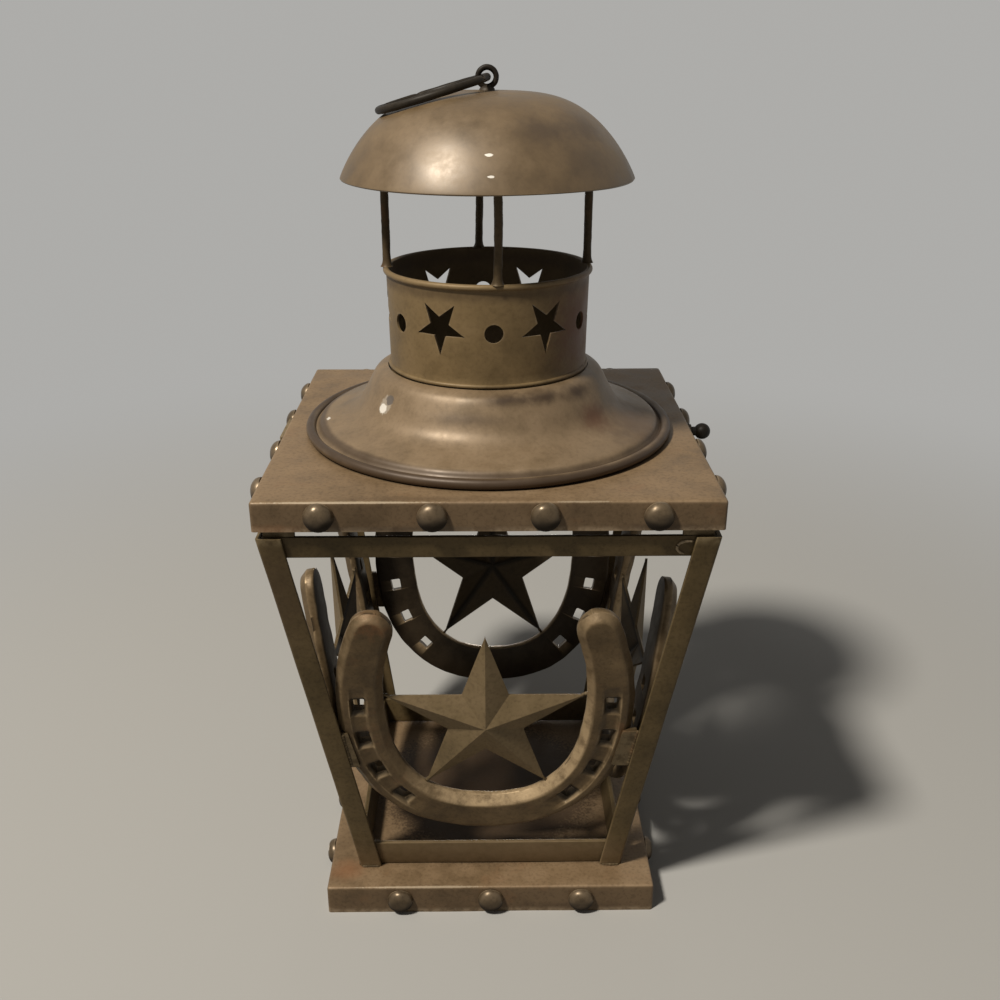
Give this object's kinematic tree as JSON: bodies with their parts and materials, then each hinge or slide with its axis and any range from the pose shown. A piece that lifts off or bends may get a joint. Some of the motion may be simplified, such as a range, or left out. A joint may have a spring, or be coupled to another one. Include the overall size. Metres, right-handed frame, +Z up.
{
  "type": "candle lantern",
  "caption": "Square candle lantern of patinated steel with a horseshoe and a pressed star in each flared side, a hinged riveted roof, a pierced chimney, a hood and a carrying ring.",
  "frame": {"origin": "middle of the base's underside, on the surface that the lantern stands on", "axes": "+Z up through the chimney and the hood, front towards -Y, roof hinge on the -X side"},
  "size_m": [0.1937, 0.187, 0.3579],
  "materials": {
    "sheet": "satin brown patina",
    "frame": "dark brown patina",
    "cast": "worn bronze-brown patina",
    "rivet": "satin dark brown",
    "wire": "dark oxide"
  },
  "bodies": {
    "body": {"base_tray": "sheet", "base_rivet_front_1": "rivet", "base_rivet_front_2": "rivet", "base_rivet_front_3": "rivet", "base_rivet_right_1": "rivet", "base_rivet_right_2": "rivet", "base_rivet_right_3": "rivet", "base_rivet_back_1": "rivet", "base_rivet_back_2": "rivet", "base_rivet_back_3": "rivet", "base_rivet_left_1": "rivet", "base_rivet_left_2": "rivet", "base_rivet_left_3": "rivet", "foot_hoop": "frame", "corner_post_front_left": "frame", "corner_post_front_right": "frame", "corner_post_back_right": "frame", "corner_post_back_left": "frame", "top_hoop": "frame", "horseshoe_front": "cast", "horseshoe_right": "cast", "horseshoe_back": "cast", "horseshoe_left": "cast", "star_front": "sheet", "star_right": "sheet", "star_back": "sheet", "star_left": "sheet", "hinge_frame_leaf": "frame", "hinge_pin": "rivet"},
    "roof": {"roof_tray": "sheet", "roof_rivet_front_1": "rivet", "roof_rivet_front_2": "rivet", "roof_rivet_front_3": "rivet", "roof_rivet_front_4": "rivet", "roof_rivet_right_1": "rivet", "roof_rivet_right_2": "rivet", "roof_rivet_right_3": "rivet", "roof_rivet_right_4": "rivet", "roof_rivet_back_1": "rivet", "roof_rivet_back_2": "rivet", "roof_rivet_back_3": "rivet", "roof_rivet_back_4": "rivet", "roof_rivet_left_1": "rivet", "roof_rivet_left_2": "rivet", "roof_rivet_left_3": "rivet", "roof_rivet_left_4": "rivet", "collar": "sheet", "chimney": "sheet", "hood_wire_front": "frame", "hood_wire_right": "frame", "hood_wire_back": "frame", "hood_wire_left": "frame", "hood": "sheet", "hanging_eye": "wire", "hinge_roof_leaf": "frame", "lift_knob": "wire"},
    "handle_ring": {"carry_ring": "wire"}
  },
  "joints": [
    {"name": "roof_hinge", "type": "hinge", "parent": "body", "child": "roof", "pos_m": [-0.092, 0, 0.1955], "axis": [0, -1, 0], "range_deg": [0, 110]},
    {"name": "ring_swing", "type": "hinge", "parent": "roof", "child": "handle_ring", "pos_m": [0, 0, 0.3532], "axis": [0, 1, 0], "range_deg": [0, 212]}
  ]
}
